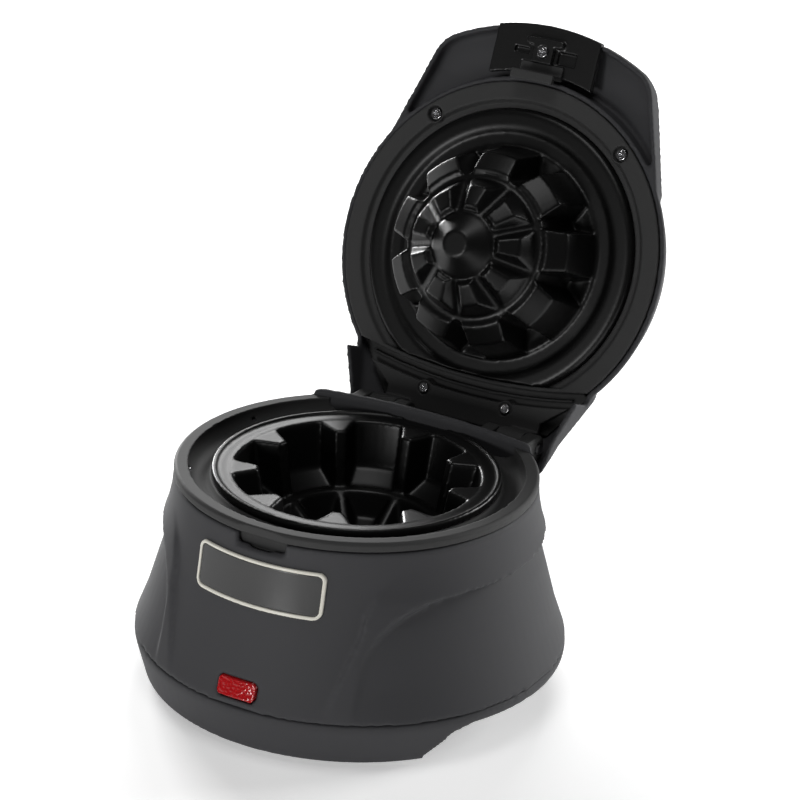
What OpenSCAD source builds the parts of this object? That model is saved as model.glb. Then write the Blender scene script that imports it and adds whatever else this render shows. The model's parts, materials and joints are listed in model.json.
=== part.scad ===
// Waffle bowl maker, shown with its lid fully open.
// Origin: on the table, in the middle of the space the open machine takes up.
// X to the right, Y to the back, Z up. Modules are drawn with the drum on the Z axis and
// moved there by stand(). The lid is drawn closed and then swung open about its pin.

/* [Main sizes] */
// Height of the top of the rim above the table
rim_z = 108; // [100:1:125]
// Radius of the rim and the upright part of the drum
rim_r = 86; // [86:1:86]
// Height of the seam between housing and bottom cover
seam_z = 25; // [22:1:30]
// Radius of the body at the seam
seam_r = 103.5; // [102:0.5:106]
// Radius of the foot of the bottom cover
foot_r = 98; // [96:1:100]
// Wall thickness of the moulded housings
wall = 2.6; // [2:0.2:3]

/* [Side panels] */
// Radius of the corner of the sunken side panel
panel_corner_r = 30; // [24:1:34]
// Sideways position of the centre of that corner
panel_corner_x = 83; // [80:1:86]
// Depth of the top edge of the side panel below the rim
panel_drop = 28; // [26:1:34]
// Depth of the crease above the side band, below the rim
crease_drop = 8; // [7:0.5:10]

/* [Waffle form] */
// Number of waffle blocks in each row
block_count = 9; // [9:1:9]
// Radius of the dome where it meets the upper plate
dome_r = 53; // [50:0.5:55]
// Depth of the tip of the dome below the rim
dome_depth = 49; // [46:0.5:50]
// Radius of the mouth of the baking cavity
cavity_r = 60; // [59:0.5:61]

/* [Lid and hinge] */
// How far the lid is swung open
lid_open = 112; // [0:1:112]
// Distance of the hinge pin behind the centre
hinge_y = 88; // [88:1:88]
// Depth of the hinge pin below the rim
hinge_drop = 11; // [11:0.5:11]
// Diameter of the hinge pin
pin_d = 5; // [4:0.5:5]
// Running clearance of the hinge pin on the radius
pin_clearance = 0.06; // [0.03:0.01:0.1]
// Radius of the lid at its lower edge
lid_r = 88; // [88:1:89]
// Height of the lid above the rim when closed
lid_height = 46; // [42:1:52]
// Half width of the hinge tail where it meets the lid
tail_half = 66; // [66:0.5:66]

/* [Handle and latch] */
// Reach of the handle from the centre
handle_r = 114; // [112:1:118]
// Half width of the latch lever in the handle
lever_half = 28.3; // [24:0.1:28.3]
// Half width of the latch hook
hook_half = 11.5; // [9:0.5:11.5]

/* [Front trim] */
// Width of the badge
badge_w = 67; // [56:1:70]
// Height of the badge
badge_h = 22; // [16:1:24]
// Depth of the middle of the badge below the rim
badge_drop = 26; // [24:1:28]
// Width of the pale frame round the badge
badge_frame_w = 1.5; // [1:0.1:2.5]
// Width of the indicator lens
lens_w = 20; // [14:1:24]
// Height of the indicator lens
lens_h = 8.5; // [6:0.5:10]
// Depth of the middle of the lens below the rim
lens_drop = 75; // [72:1:77]

/* [Hidden] */
$fn = 96;
hinge_z = rim_z - hinge_drop;
tip_cut = 0.01;
reach = 150;
// How far the drum stands in front of the middle of the open machine
drum_shift = 44;

// The flare of the front apron is one long hollow arc between these two heights
flare_r = 334;
flare_top = rim_z - 5;
flare_dx = seam_r - rim_r;
flare_dz = flare_top - seam_z;
flare_chord = sqrt(flare_dx * flare_dx + flare_dz * flare_dz);
flare_rise = sqrt(flare_r * flare_r - flare_chord * flare_chord / 4);
flare_x = (rim_r + seam_r) / 2 + flare_rise * flare_dz / flare_chord;
flare_z = (flare_top + seam_z) / 2 + flare_rise * flare_dx / flare_chord;

// The back of the rim, the ledge and the lid liner follow one shallow bow
bow_r = 278;
ledge_front = 66;
ledge_depth = 4;
ledge_rise = 3.1;
liner_back = 64;
rib_back = 68.5;
pocket_y = 70;
pocket_drop = 27;
cheek = 2.5;

// Hinge tail: half width where it meets the lid, at its waist and at its end, and its side outline
tail_waist_half = 57.3;
tail_waist_y = 84;
tail_end_half = 54.3;
tail_end_y = 101.5;
tail_front_y = 62;
tail_lean = 0.79;
tail_bend_z = 23;

// Flat shoulders either side of the tail: how they lie, and how far off the rim centre
shoulder_tilt = 51;
shoulder_turn = 36;
shoulder_off = 73.5;

// Lid parts are placed by their height above the rim
heater_end_y = 30.4;
groove_z = 3;
plate_top = 4.5;
lip_top = 6;
ceiling_top = 7.5;
bracket_low = 1;
bracket_top = 4;
bracket_screw_x = 23;
bracket_front = 72;
bracket_end_y = 85.4;
bracket_screw_y = 74;
bracket_head_r = 2.3;
bracket_well_r = 3.4;
liner_screw_x = 51.7;
liner_screw_y = -60.3;
liner_head_z = 3.6;
liner_well_r = 4;
liner_r = lid_r - wall - 0.2;
lug_in = 29;
lug_out = 43;
lug_r = 6.5;
ear_gap = 0.5;
ear_w = 7;
pin_half = 52;

// Latch, also placed by height above the rim
latch_y = -94;
latch_z = 6.5;
latch_pin_r = 1.25;
arm_in = 21;
arm_out = 23.5;
hook_y = -90.5;
hook_drop = 9;
latch_screw_y = -101;
recess_half = 13.5;
recess_drop = 11;

// Upright rim of the bottom cover that plugs into the housing, and the scoops under its sides
spigot_r = seam_r - wall - 1.1;
spigot_h = 3;
scoop_z = 19;

screw_r = 1.45;
screw_hole_r = 1.5;
block_screw_x = 14;
block_screw_drop = 18;
foot_xy = [48, 70];
post_xy = [62, 60];

// ---- shared helpers ----

module stand() {
  translate([0, -drum_shift, 0]) children();
}

// A prism whose outline is drawn in X and Z and which runs along Y
module along_y(from, to) {
  translate([0, to, 0]) rotate([90, 0, 0]) linear_extrude(to - from) children();
}

// A prism whose outline is drawn in Y and Z and which runs along X
module along_x(from, to) {
  translate([from, 0, 0]) rotate([90, 0, 90]) linear_extrude(to - from) children();
}

module both_sides() {
  children();
  mirror([1, 0, 0]) children();
}

module four_corners(xy) {
  for (sx = [-1, 1])
    for (sy = [-1, 1])
      translate([sx * xy[0], sy * xy[1], 0]) children();
}

module rounded_box_2d(w, h, r) {
  for (sx = [-1, 1])
    for (sy = [-1, 1])
      translate([sx * (w / 2 - r), sy * (h / 2 - r)]) circle(r);
  square([w - 2 * r, h], center = true);
  square([w, h - 2 * r], center = true);
}

// Points of an arc, for profiles with a rounded corner
function arc(cx, cy, r, from, to, steps = 10) =
  [for (i = [0:steps]) let (a = from + (to - from) * i / steps) [cx + r * cos(a), cy + r * sin(a)]];

// Everything in front of the bowed line that crosses the centre plane at y = back
module in_front_of(back) {
  intersection() {
    children();
    translate([0, back - bow_r, -reach]) cylinder(r = bow_r, h = 4 * reach, $fn = 360);
  }
}

module behind(back) {
  difference() {
    children();
    translate([0, back - bow_r, -reach]) cylinder(r = bow_r, h = 4 * reach, $fn = 360);
  }
}

// A screw pointing down (head on top at z = 0) with a cross recess
module screw(length, head_r = 2.7, head_h = 1.8, r = screw_r) {
  difference() {
    union() {
      translate([0, 0, -length]) cylinder(r = r, h = length + tip_cut, $fn = 32);
      cylinder(r = head_r, h = head_h, $fn = 48);
    }
    for (a = [0, 90])
      rotate([0, 0, a])
        translate([-head_r * 0.6, -0.35, head_h - 0.9]) cube([head_r * 1.2, 0.7, 1]);
  }
}

module screw_hole(depth) {
  cylinder(r = screw_hole_r, h = depth, $fn = 32);
}

// ---- body outline ----

// Front apron: rim radius at the top, flaring out to the seam; grown outward by grow
module front_profile(grow = 0) {
  difference() {
    translate([0, seam_z]) square([seam_r + 10, rim_z - 4.5 - seam_z]);
    translate([flare_x, flare_z]) circle(flare_r - grow, $fn = 1440);
    translate([rim_r + grow, flare_top]) square([40, 20]);
  }
}

// Band round the sides: slopes out from the crease and runs on to the seam
module band_profile() {
  polygon([[0, seam_z], [seam_r, seam_z], [rim_r + 4.8, rim_z - panel_drop],
    [rim_r + 2.6, rim_z - 21.5], [rim_r + 1, rim_z - 14], [rim_r, rim_z - crease_drop + 0.5],
    [rim_r, rim_z - 4.5], [0, rim_z - 4.5]]);
}

// Side panels: tucked in under the band, then flaring out to the seam
module panel_profile() {
  polygon([[0, seam_z], [seam_r, seam_z], [97.9, rim_z - 68], [93.6, rim_z - 53],
    [90, rim_z - 40.5], [87.2, rim_z - 33], [rim_r - 0.3, rim_z - 30],
    [rim_r - 0.3, rim_z - 20], [rim_r - 0.3, rim_z - 4.5], [0, rim_z - 4.5]]);
}

// Outline of the side panel seen from the front
module panel_window_2d() {
  corner_z = rim_z - panel_drop - panel_corner_r;
  translate([panel_corner_x, corner_z]) circle(panel_corner_r);
  translate([panel_corner_x - panel_corner_r, -10]) square([reach, corner_z + 10]);
  translate([panel_corner_x, -10]) square([reach, corner_z + panel_corner_r + 10]);
}

// Outline of band and side panel together seen from the front
module band_window_2d() {
  corner_r = panel_corner_r + 2;
  corner_z = rim_z - crease_drop - corner_r;
  translate([panel_corner_x, corner_z]) circle(corner_r);
  translate([panel_corner_x, -10]) square([reach, corner_z + corner_r + 10]);
  polygon([[panel_corner_x - corner_r + 0.1, corner_z - 2], [41, seam_z], [41, -10],
    [panel_corner_x + 1, -10], [panel_corner_x + 1, corner_z - 2]]);
}

module body_outer() {
  rotate_extrude($fn = 180) panel_profile();
  difference() {
    rotate_extrude($fn = 180) front_profile();
    both_sides() along_y(-reach, reach) band_window_2d();
  }
  difference() {
    intersection() {
      rotate_extrude($fn = 180) band_profile();
      both_sides() along_y(-reach, reach) band_window_2d();
    }
    both_sides() along_y(-reach, reach) panel_window_2d();
  }
}

// A curved plate lying on the front apron, bounded by the outline given in X and Z
module on_apron(low, high, z_mid) {
  intersection() {
    difference() {
      rotate_extrude($fn = 180) front_profile(high);
      rotate_extrude($fn = 180) front_profile(low);
    }
    along_y(-reach, -40) translate([0, z_mid]) children();
  }
}

module lens_2d(gap = 0) {
  translate([-1, 0]) rounded_box_2d(lens_w + 2 * gap, lens_h + 2 * gap, 2);
}

// ---- base ----

module housing_posts() {
  four_corners(post_xy) translate([0, 0, seam_z - 2.9]) cylinder(r = 4.5, h = 17);
  for (sx = [-1, 1])
    for (sy = [-1, 1])
      intersection() {
        rotate([0, 0, atan2(sy * post_xy[1], sx * post_xy[0])])
          translate([norm(post_xy) + 2, -1.2, seam_z + spigot_h + 0.3]) cube([14, 2.4, 11]);
        rotate_extrude()
          polygon([[0, seam_z], [seam_r - 1.4, seam_z], [93, seam_z + 30], [0, seam_z + 30]]);
      }
}

module base_housing() {
  color([0.13, 0.125, 0.135]) stand()
  difference() {
    union() {
      difference() {
        body_outer();
        rotate_extrude($fn = 180)
          polygon([[0, seam_z - 1], [seam_r - wall, seam_z - 1], [seam_r - wall, seam_z],
            [87.3, rim_z - 40], [rim_r - wall - 0.2, rim_z - 28],
            [rim_r - wall - 0.2, rim_z], [0, rim_z]]);
      }
      // solid back of the drum, from which the hinge pocket is cut
      intersection() {
        rotate_extrude($fn = 180)
          polygon([[0, rim_z - pocket_drop - wall], [rim_r + 0.6, rim_z - pocket_drop - wall],
            [rim_r, rim_z - 20], [rim_r, rim_z - 0.5], [0, rim_z - 0.5]]);
        behind(ledge_front) translate([-80, 40, 0]) cube([160, 60, rim_z]);
      }
      // raised ledge in front of the hinge
      intersection() {
        behind(ledge_front)
          in_front_of(ledge_front + ledge_depth)
            translate([-60, 40, rim_z - 10]) cube([120, 60, 10 + ledge_rise]);
        cylinder(r = rim_r, h = 2 * reach);
      }
      housing_posts();
    }
    // hollow of the hinge pocket
    translate([-80, pocket_y, rim_z - pocket_drop]) cube([160, 60, 60]);
    // latch recess in the front of the drum
    translate([-recess_half, -rim_r - 2, rim_z - recess_drop])
      cube([2 * recess_half, 5, recess_drop + 5]);
    // openings for the lens, the cord gland and the screws
    along_y(-reach, -60) translate([0, rim_z - lens_drop]) lens_2d(0.15);
    translate([0, 60, seam_z + 14]) rotate([-90, 0, 0]) cylinder(r = 7.1, h = 60);
    four_corners(post_xy) translate([0, 0, seam_z - 4]) screw_hole(14);
    both_sides()
      translate([block_screw_x, pocket_y - 3.5, rim_z - block_screw_drop])
        rotate([-90, 0, 0]) screw_hole(10);
  }
}

module rim_ring() {
  color([0.16, 0.155, 0.165]) stand()
  difference() {
    in_front_of(ledge_front - 0.1)
      rotate_extrude($fn = 180)
        polygon([[66, rim_z - 10.5], [rim_r - wall - 0.4, rim_z - 10.5],
          [rim_r - wall - 0.4, rim_z - 4.5], [rim_r, rim_z - 4.5], [rim_r, rim_z - 1.2],
          [rim_r - 1.2, rim_z], [74, rim_z], [74, rim_z - 5], [68.6, rim_z - 5],
          [68.6, rim_z - 6], [66, rim_z - 6]]);
    // rounded drip channel
    translate([0, 0, rim_z - 2]) torus(73.6, 6);
    // latch recess: shallow at the rim, deeper below it
    translate([-recess_half, -rim_r - 2, rim_z - 4.6]) cube([2 * recess_half, 2.9, 10]);
    translate([-recess_half - 2, -rim_r - 2, rim_z - 14]) cube([2 * recess_half + 4, 8, 9.4]);
    shield_screw_places() translate([0, 0, rim_z - 11]) screw_hole(6.5);
  }
}

module latch_catch() {
  color([0.16, 0.155, 0.165]) stand()
  difference() {
    translate([-recess_half - 1.5, -rim_r + 2.9, rim_z - recess_drop - 1])
      cube([2 * recess_half + 3, 3, recess_drop - 3.6]);
    translate([-recess_half, -rim_r + 2, rim_z - recess_drop])
      cube([2 * recess_half, 2.4, recess_drop - 5.4]);
    difference() {
      translate([-40, -rim_r - 5, rim_z - 20]) cube([80, 10, 30]);
      cylinder(r = rim_r - wall - 0.25, h = 2 * reach, $fn = 180);
    }
  }
}

module bottom_cover() {
  color([0.12, 0.115, 0.125]) stand()
  difference() {
    union() {
      rotate_extrude($fn = 180)
        polygon([[0, seam_z - 5.5], [92, seam_z - 5.5], [foot_r - 3, 3], [foot_r, 3],
          [seam_r - 0.3, seam_z - 3.5], [seam_r - 0.3, seam_z - 0.4], [spigot_r, seam_z - 0.4],
          [spigot_r, seam_z + spigot_h], [spigot_r - 2, seam_z + spigot_h], [spigot_r - 2, seam_z - 3],
          [0, seam_z - 3]]);
      intersection() {
        four_corners(foot_xy) translate([0, 0, 3]) cylinder(r = 10, h = seam_z - 8);
        cylinder(r = foot_r - 1, h = seam_z);
      }
    }
    // scoops under the sides
    along_x(-reach, reach)
      polygon([[-64, -1], [64, -1], [60, 6], [52, scoop_z - 3], [44, scoop_z], [-44, scoop_z],
        [-52, scoop_z - 3], [-60, 6]]);
    four_corners(foot_xy) translate([0, 0, 2]) cylinder(r = 7.1, h = 2.5);
    four_corners(post_xy) translate([0, 0, -1]) screw_hole(2 * seam_z);
    // cooling slots under the plate
    for (i = [-3:3])
      translate([-22, i * 9 - 1.5, 0]) cube([44, 3, 2 * seam_z]);
  }
}

module rubber_feet() {
  color([0.05, 0.05, 0.05]) stand()
  four_corners(foot_xy) {
    cylinder(r1 = 6.2, r2 = 7, h = 1.5);
    translate([0, 0, 1.5 - tip_cut]) cylinder(r = 7, h = 3 + tip_cut);
  }
}

module base_screws() {
  color([0.7, 0.7, 0.72]) stand()
  four_corners(post_xy) translate([0, 0, seam_z - 5.5]) rotate([180, 0, 0]) screw(10);
}

// ---- waffle plates ----

// A groove with sloping sides; its floor runs from point a to point b in the X-Z plane
module slope_groove(a, b, floor_w, mouth_w, depth) {
  run = [b[0] - a[0], b[1] - a[1]];
  translate([a[0], 0, a[1]])
    rotate([0, atan2(run[0], run[1]), 0])
      linear_extrude(norm(run))
        polygon([[0, -floor_w / 2], [depth, -mouth_w / 2], [depth, mouth_w / 2], [0, floor_w / 2]]);
}

// The waffle dome, tip down, with the rim plane at z = 0
module waffle_form() {
  turn = 360 / block_count;
  rotate_extrude($fn = 144)
    polygon([[0, -dome_depth], [6.4, -dome_depth], [15.3, -42], [16.5, -40.5], [34, -27.5],
      [36.5, -27], [41.3, 0], [41.3, 1.2], [0, 1.2]]);
  difference() {
    rotate_extrude($fn = 144) {
      polygon([[14, -38], [17, -40], [19.5, -42.6], [29.5, -38], [33.5, -28], [33, -24]]);
      polygon([[35, -24], [37, -27.5], [39, -27.8], [47.5, -22.5], [dome_r - 0.8, -1], [dome_r, 1.2],
        [35, 1.2]]);
    }
    for (i = [0:block_count - 1])
      rotate([0, 0, -90 + turn / 2 + i * turn]) {
        slope_groove([15, -42], [35, -26.8], 2.8, 17, 9);
        slope_groove([36.2, -29.5], [41.9, 2.2], 4.6, 21, 16);
      }
  }
}

module lower_plate() {
  color([0.1, 0.1, 0.105]) stand()
  in_front_of(ledge_front - 0.4)
    difference() {
      translate([0, 0, rim_z]) rotate_extrude($fn = 180)
        polygon([[0, -60], [14, -60], [38.5, -46.5], [58.5, -29.5], [63.5, -6], [68.3, -6],
          [68.3, -2.1], [67.7, -1.5], [66.6, -1.5], [66, -3], [0, -3]]);
      translate([0, 0, rim_z]) scale(cavity_r / dome_r) waffle_form();
      translate([0, 0, rim_z - 3.4]) cylinder(r = cavity_r, h = 10, $fn = 180);
    }
}

module torus(ring_r, tube_r) {
  rotate_extrude($fn = 120) translate([ring_r, 0]) circle(tube_r, $fn = 32);
}

module lower_heater() {
  color([0.55, 0.53, 0.5]) stand() {
    translate([0, 0, rim_z - 41.5]) torus(50, 3.4);
    for (sx = [-1, 1])
      translate([sx * 6, -50, rim_z - 60]) cylinder(r = 2.2, h = 18, $fn = 32);
  }
}

module lower_heat_shield() {
  color([0.75, 0.75, 0.76]) stand()
  in_front_of(ledge_front - 0.2)
  difference() {
    rotate_extrude($fn = 180)
      polygon([[12, rim_z - 68], [65.6, rim_z - 68], [65.6, rim_z - 11.3],
        [rim_r - wall - 0.6, rim_z - 11.3], [rim_r - wall - 0.6, rim_z - 10.5],
        [64.8, rim_z - 10.5], [64.8, rim_z - 67.2], [12, rim_z - 67.2]]);
    for (sx = [-1, 1])
      translate([sx * 6, -50, rim_z - 70]) cylinder(r = 4, h = 5);
    shield_screw_places() translate([0, 0, rim_z - 14]) screw_hole(6);
    translate([-recess_half - 2, -rim_r, rim_z - 14]) cube([2 * recess_half + 4, 6, 9]);
  }
}

module shield_screw_places() {
  for (a = [-150, -50, 20, 160])
    rotate([0, 0, a]) translate([79.6, 0, 0]) children();
}

module shield_screws() {
  color([0.7, 0.7, 0.72]) stand()
  shield_screw_places() translate([0, 0, rim_z - 11.3]) rotate([180, 0, 0]) screw(6);
}

module thermostat() {
  color([0.8, 0.78, 0.72]) stand() {
    translate([0, 0, rim_z - 65]) cylinder(r = 8, h = 5);
    translate([0, 0, rim_z - 72]) cylinder(r = 6, h = 7 + tip_cut);
    both_sides() translate([2.5, -0.5 - 2, rim_z - 78]) cube([0.8, 5, 6 + tip_cut]);
  }
}

module thermal_fuse() {
  color([0.85, 0.85, 0.83]) stand()
  translate([30, -12, rim_z - 70.2]) rotate([-90, 0, 0]) {
    cylinder(r = 2.2, h = 24, $fn = 32);
    translate([0, 0, -6]) cylinder(r = 0.6, h = 36, $fn = 16);
  }
}

module terminal_block() {
  color([0.85, 0.84, 0.8]) stand()
  difference() {
    translate([-20, 62, seam_z - 3]) cube([40, 14, 11]);
    for (i = [-1, 0, 1])
      translate([i * 12, 69, seam_z + 2]) cylinder(r = 2, h = 10, $fn = 32);
  }
}

module terminal_screws() {
  color([0.75, 0.72, 0.6]) stand()
  for (i = [-1, 0, 1])
    translate([i * 12, 69, seam_z + 5.5]) screw(3.5, head_r = 1.9, head_h = 1.6, r = 1);
}

// Wires from the heater ends down to the terminal block
module lower_leads() {
  color([0.8, 0.2, 0.15]) stand()
  for (sx = [-1, 1]) {
    translate([sx * 6, -50, rim_z - 76]) cylinder(r = 1.3, h = 16, $fn = 24);
    translate([sx * 6, -50, rim_z - 76]) sphere(1.3, $fn = 24);
    translate([sx * 6, -50, rim_z - 76]) rotate([-90, 0, 0]) cylinder(r = 1.3, h = 112, $fn = 24);
  }
}

module cord_gland() {
  color([0.07, 0.07, 0.07]) stand()
  difference() {
    translate([0, 0, seam_z + 14]) rotate([-90, 0, 0]) {
      translate([0, 0, 92]) cylinder(r = 7, h = 13);
      translate([0, 0, 102.4]) cylinder(r = 9, h = 2.6);
    }
    translate([0, 60, seam_z + 14]) rotate([-90, 0, 0]) cylinder(r = 3.4, h = 60);
  }
}

// ---- front trim ----

module badge_panel_2d() {
  rounded_box_2d(badge_w - 2 * badge_frame_w, badge_h - 2 * badge_frame_w, 4 - badge_frame_w);
}

module badge_frame() {
  color([0.93, 0.92, 0.85]) stand()
  on_apron(0, 1.5, rim_z - badge_drop)
    difference() {
      rounded_box_2d(badge_w, badge_h, 4);
      badge_panel_2d();
    }
}

module badge_panel() {
  color([0.1, 0.1, 0.105]) stand()
  on_apron(0, 1, rim_z - badge_drop)
    badge_panel_2d();
}

module indicator_lens() {
  color([0.75, 0.03, 0.04]) stand()
  on_apron(-3, 0.5, rim_z - lens_drop) lens_2d();
}

module indicator_lamp() {
  color([0.95, 0.6, 0.4]) stand() {
    translate([-10, -96.4, rim_z - lens_drop - 3]) cube([18, 4, 6]);
    for (x = [-5, 3])
      translate([x, -92.4 - tip_cut, rim_z - lens_drop])
        rotate([-90, 0, 0]) cylinder(r = 0.6, h = 14, $fn = 16);
  }
}

// ---- hinge ----

module hinge_ear_2d(hole_r) {
  difference() {
    union() {
      translate([hinge_y, hinge_z]) circle(lug_r, $fn = 64);
      translate([pocket_y + 1, hinge_z - lug_r]) square([hinge_y - pocket_y - 1, 2 * lug_r]);
    }
    translate([hinge_y, hinge_z]) circle(hole_r, $fn = 64);
  }
}

module hinge_block() {
  color([0.14, 0.14, 0.15]) stand()
  difference() {
    union() {
      translate([-50.5, pocket_y, rim_z - 24]) cube([101, 3, 20]);
      both_sides() {
        along_x(lug_in - ear_gap - ear_w, lug_in - ear_gap) hinge_ear_2d(pin_d / 2);
        along_x(lug_out + ear_gap, lug_out + ear_gap + ear_w) hinge_ear_2d(pin_d / 2);
      }
    }
    both_sides()
      translate([block_screw_x, 60, rim_z - block_screw_drop]) rotate([-90, 0, 0]) screw_hole(20);
  }
}

module hinge_block_screws() {
  color([0.7, 0.7, 0.72]) stand()
  both_sides()
    translate([block_screw_x, pocket_y + 3, rim_z - block_screw_drop]) rotate([-90, 0, 0]) screw(6);
}

module hinge_pin() {
  color([0.75, 0.75, 0.77]) stand()
  translate([-pin_half, hinge_y, hinge_z]) rotate([0, 90, 0])
    cylinder(r = pin_d / 2, h = 2 * pin_half, $fn = 64);
}

// ---- lid, drawn closed ----

module swing_open() {
  stand()
    translate([0, hinge_y, hinge_z]) rotate([-lid_open, 0, 0])
      translate([0, -hinge_y, -hinge_z]) children();
}

// Crown of the lid; thin is how far the surface is moved inward
module lid_profile(thin) {
  shoulder = 16 - thin;
  polygon(concat(
    [[0, rim_z + 1], [lid_r - thin, rim_z + 1], [lid_r - thin, rim_z + 3]],
    arc(lid_r - 24.5, rim_z + lid_height - 23.4, shoulder, 19, 72),
    arc(0, rim_z + lid_height - 220, 220 - thin, 73.4, 90, 8)));
}

// The back of the tail leans forward as it rises
function tail_back(z) = tail_end_y - (z - hinge_z) * tail_lean;

// Side outline of the hinge tail in Y and Z; thin moves the back and the top inward
module tail_2d(front, bottom, thin) {
  polygon([[front, bottom], [tail_back(bottom) - 1.28 * thin, bottom],
    [tail_back(rim_z + tail_bend_z) - 0.7 * thin, rim_z + tail_bend_z - 0.7 * thin],
    [57, rim_z + 36.5 - 1.25 * thin], [57, rim_z + 1], [front, rim_z + 1]]);
}

// Outline of the hinge tail seen from above
module tail_plan_2d(thin) {
  both_sides()
    polygon([[0, 40], [tail_half - thin, 40], [tail_half - thin, 60],
      [tail_waist_half - thin, tail_waist_y], [tail_end_half - thin, tail_end_y + 10],
      [0, tail_end_y + 10]]);
}

module below_shoulder(thin) {
  translate([0, 0, rim_z]) rotate([0, shoulder_tilt, shoulder_turn])
    translate([-2 * reach, -2 * reach, shoulder_off - thin - 4 * reach]) cube(4 * reach);
}

// Where the tail may be: within its plan and below both shoulders
module tail_bounds(thin) {
  intersection() {
    linear_extrude(3 * reach) tail_plan_2d(thin);
    below_shoulder(thin);
    mirror([1, 0, 0]) below_shoulder(thin);
  }
}

module tail(front, bottom, thin) {
  intersection() {
    along_x(-tail_half, tail_half) tail_2d(front, bottom, thin);
    tail_bounds(thin);
  }
}

module handle_2d(thin) {
  corner_x = 42.5;
  corner_y = -85;
  corner_r = 19;
  side_angle = 18;
  side_end_r = corner_r - thin - 0.1;
  intersection() {
    circle(handle_r - thin, $fn = 180);
    polygon([[0, 0], [-corner_x * 2, corner_y * 2], [corner_x * 2, corner_y * 2]]);
  }
  both_sides() {
    translate([corner_x, corner_y]) circle(corner_r - thin);
    // ends just inside the corner's arc, so that the side runs cleanly into it
    polygon([[0, 0], [75.5 - thin, -44], [corner_x + side_end_r * cos(side_angle),
      corner_y - side_end_r * sin(side_angle)], [corner_x, corner_y], [0, corner_y]]);
  }
}

// The handle thins out towards its sides
module handle(thin) {
  intersection() {
    along_y(-reach, 0)
      polygon([[-80, rim_z + 9 - thin], [-28, rim_z + 17 - thin], [28, rim_z + 17 - thin],
        [80, rim_z + 9 - thin], [80, rim_z], [-80, rim_z]]);
    translate([0, 0, rim_z]) linear_extrude(30) handle_2d(thin);
    rotate_extrude($fn = 180)
      polygon([[60, rim_z + 1.5], [handle_r, rim_z + 1.5], [handle_r, rim_z + 8 - thin],
        [handle_r - 5, rim_z + 11 - thin], [84, rim_z + 16 - thin], [60, rim_z + 16 - thin]]);
  }
}

module lid_shell() {
  color([0.13, 0.125, 0.135])
  swing_open()
  difference() {
    union() {
      difference() {
        union() {
          rotate_extrude($fn = 180) lid_profile(0);
          tail(tail_front_y, hinge_z, 0);
          handle(0);
        }
        rotate_extrude($fn = 180) lid_profile(wall);
        // the tail is open in front and below
        tail(50, hinge_z - 10, cheek);
        // the handle wings are open below
        difference() {
          handle(cheek);
          cylinder(r = lid_r, h = 3 * reach, $fn = 180);
        }
        difference() {
          translate([0, 0, rim_z]) linear_extrude(3) handle_2d(cheek);
          cylinder(r = lid_r, h = 3 * reach, $fn = 180);
        }
      }
      // posts for the liner screws
      intersection() {
        both_sides() translate([liner_screw_x, liner_screw_y, rim_z + lip_top]) cylinder(r = 3.8, h = 20);
        rotate_extrude($fn = 180) lid_profile(0.6);
      }
      // arms for the latch pin
      intersection() {
        both_sides() along_x(arm_in, arm_out) {
          translate([latch_y, rim_z + latch_z]) circle(3.4, $fn = 48);
          translate([latch_y - 3.4, rim_z + latch_z]) square([6.8, 8]);
        }
        handle(0.4);
      }
    }
    // the lever reaches through the front
    translate([-lever_half - 0.4, -handle_r - 5, rim_z]) cube([2 * lever_half + 0.8, 12, 7.5]);
    both_sides() translate([liner_screw_x, liner_screw_y, rim_z - 2]) screw_hole(16);
    translate([-30, latch_y, rim_z + latch_z]) rotate([0, 90, 0])
      cylinder(r = latch_pin_r, h = 60, $fn = 32);
  }
}

module lid_liner() {
  color([0.11, 0.105, 0.115])
  swing_open()
  difference() {
    union() {
      in_front_of(liner_back)
        rotate_extrude($fn = 180)
          polygon([[68, rim_z + plate_top], [72.1, rim_z + plate_top], [72.1, rim_z + groove_z],
            [75, rim_z + groove_z], [76.5, rim_z + 0.5], [liner_r, rim_z + 0.5],
            [liner_r, rim_z + groove_z], [78.5, rim_z + groove_z], [77, rim_z + lip_top],
            [68, rim_z + lip_top]]);
      intersection() {
        union() {
          in_front_of(liner_back) behind(liner_back - 2)
            translate([-reach, 0, rim_z + 0.5]) cube([2 * reach, reach, ceiling_top - 0.5]);
          behind(liner_back - 2)
            translate([-reach, 30, rim_z + lip_top]) cube([2 * reach, 52.5, ceiling_top - lip_top]);
          in_front_of(rib_back) behind(rib_back - 1.2)
            translate([-56, 30, rim_z + ledge_rise + 0.9]) cube([112, 60, 2.5]);
        }
        union() {
          rotate_extrude($fn = 180)
            polygon([[0, rim_z], [liner_r, rim_z], [liner_r, rim_z + groove_z],
              [liner_r - 3, rim_z + ceiling_top + 1], [0, rim_z + ceiling_top + 1]]);
          intersection() {
            tail_bounds(cheek + 0.3);
            translate([-reach, 58, rim_z + groove_z]) cube([2 * reach, 60, 6]);
          }
        }
      }
      // bosses of the liner screws and of the bracket screws
      both_sides() translate([liner_screw_x, liner_screw_y, rim_z + 0.5])
        cylinder(r = liner_well_r + 0.8, h = lip_top - 0.5);
      both_sides() translate([bracket_screw_x, bracket_screw_y, rim_z + bracket_top])
        cylinder(r = 3.2, h = 2.5);
    }
    both_sides() translate([liner_screw_x, liner_screw_y, rim_z]) screw_hole(16);
    both_sides() translate([bracket_screw_x, bracket_screw_y, rim_z]) screw_hole(16);
    both_sides() translate([liner_screw_x, liner_screw_y, rim_z])
      cylinder(r = liner_well_r, h = liner_head_z);
    plate_screw_places() screw_hole(10);
  }
}

module plate_screw_places() {
  for (a = [-150, -90, -30, 20, 160])
    rotate([0, 0, a]) translate([70, 0, rim_z]) children();
}

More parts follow.
